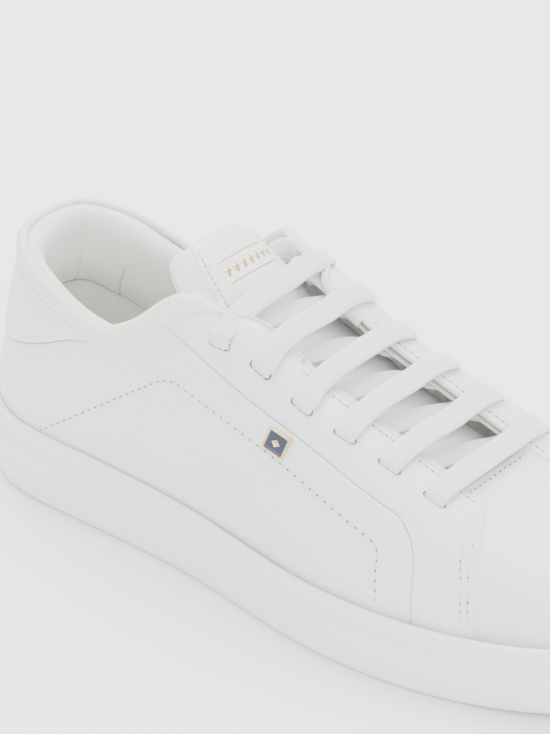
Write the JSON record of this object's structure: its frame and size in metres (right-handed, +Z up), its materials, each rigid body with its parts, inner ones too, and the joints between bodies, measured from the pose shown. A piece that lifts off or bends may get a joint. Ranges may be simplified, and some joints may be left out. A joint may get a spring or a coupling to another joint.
{
  "type": "court shoe",
  "caption": "Low-cut white leather court shoe for the right foot, on a rubber cup sole, with flat laces, a padded collar and a hinged tongue",
  "frame": {"origin": "centre of the shoe's plan outline, on the ground under the sole", "axes": "+X towards the toe, +Y towards the inner (medial) side of the right foot, +Z up"},
  "size_m": [0.2904, 0.1044, 0.1055],
  "materials": {
    "sole_rubber": "matt white moulded rubber",
    "upper_leather": "smooth white leather with a soft sheen",
    "label_leather": "bright white smooth leather with a gold foil motif",
    "lining_textile": "ivory knitted textile",
    "binding_textile": "ivory ribbed textile band",
    "lace_textile": "white flat lace, herringbone weave",
    "foam": "soft foam",
    "board": "fibre board",
    "badge_metal": "polished gilt metal",
    "badge_enamel": "glossy enamel",
    "lace_tip": "clear plastic film over the lace"
  },
  "bodies": {
    "shoe": {"outsole_cup": "sole_rubber", "midsole_filler": "foam", "strobel_board": "board", "sockliner": "lining_textile", "quarter_lateral": "upper_leather", "quarter_medial": "upper_leather", "eyestay_lateral": "upper_leather", "eyestay_medial": "upper_leather", "heel_patch": "upper_leather", "vamp": "upper_leather", "toe_puff": "board", "heel_counter": "board", "interlining_lateral": "foam", "interlining_medial": "foam", "lining_lateral": "lining_textile", "lining_medial": "lining_textile", "vamp_lining": "lining_textile", "collar_pad": "foam", "collar_lining": "lining_textile", "collar_binding": "binding_textile", "badge_plate": "badge_metal", "badge_enamel": "badge_enamel", "lace": "lace_textile", "lace_tip_lateral": "lace_tip", "lace_tip_medial": "lace_tip"},
    "tongue": {"tongue_shell": "upper_leather", "tongue_foam": "foam", "tongue_lining": "lining_textile", "tongue_label": "label_leather"}
  },
  "joints": [
    {"name": "tongue_hinge", "type": "hinge", "parent": "shoe", "child": "tongue", "pos_m": [0.0578, 0.003, 0.0425], "axis": [0, 1, 0], "range_deg": [-6, 0]}
  ]
}
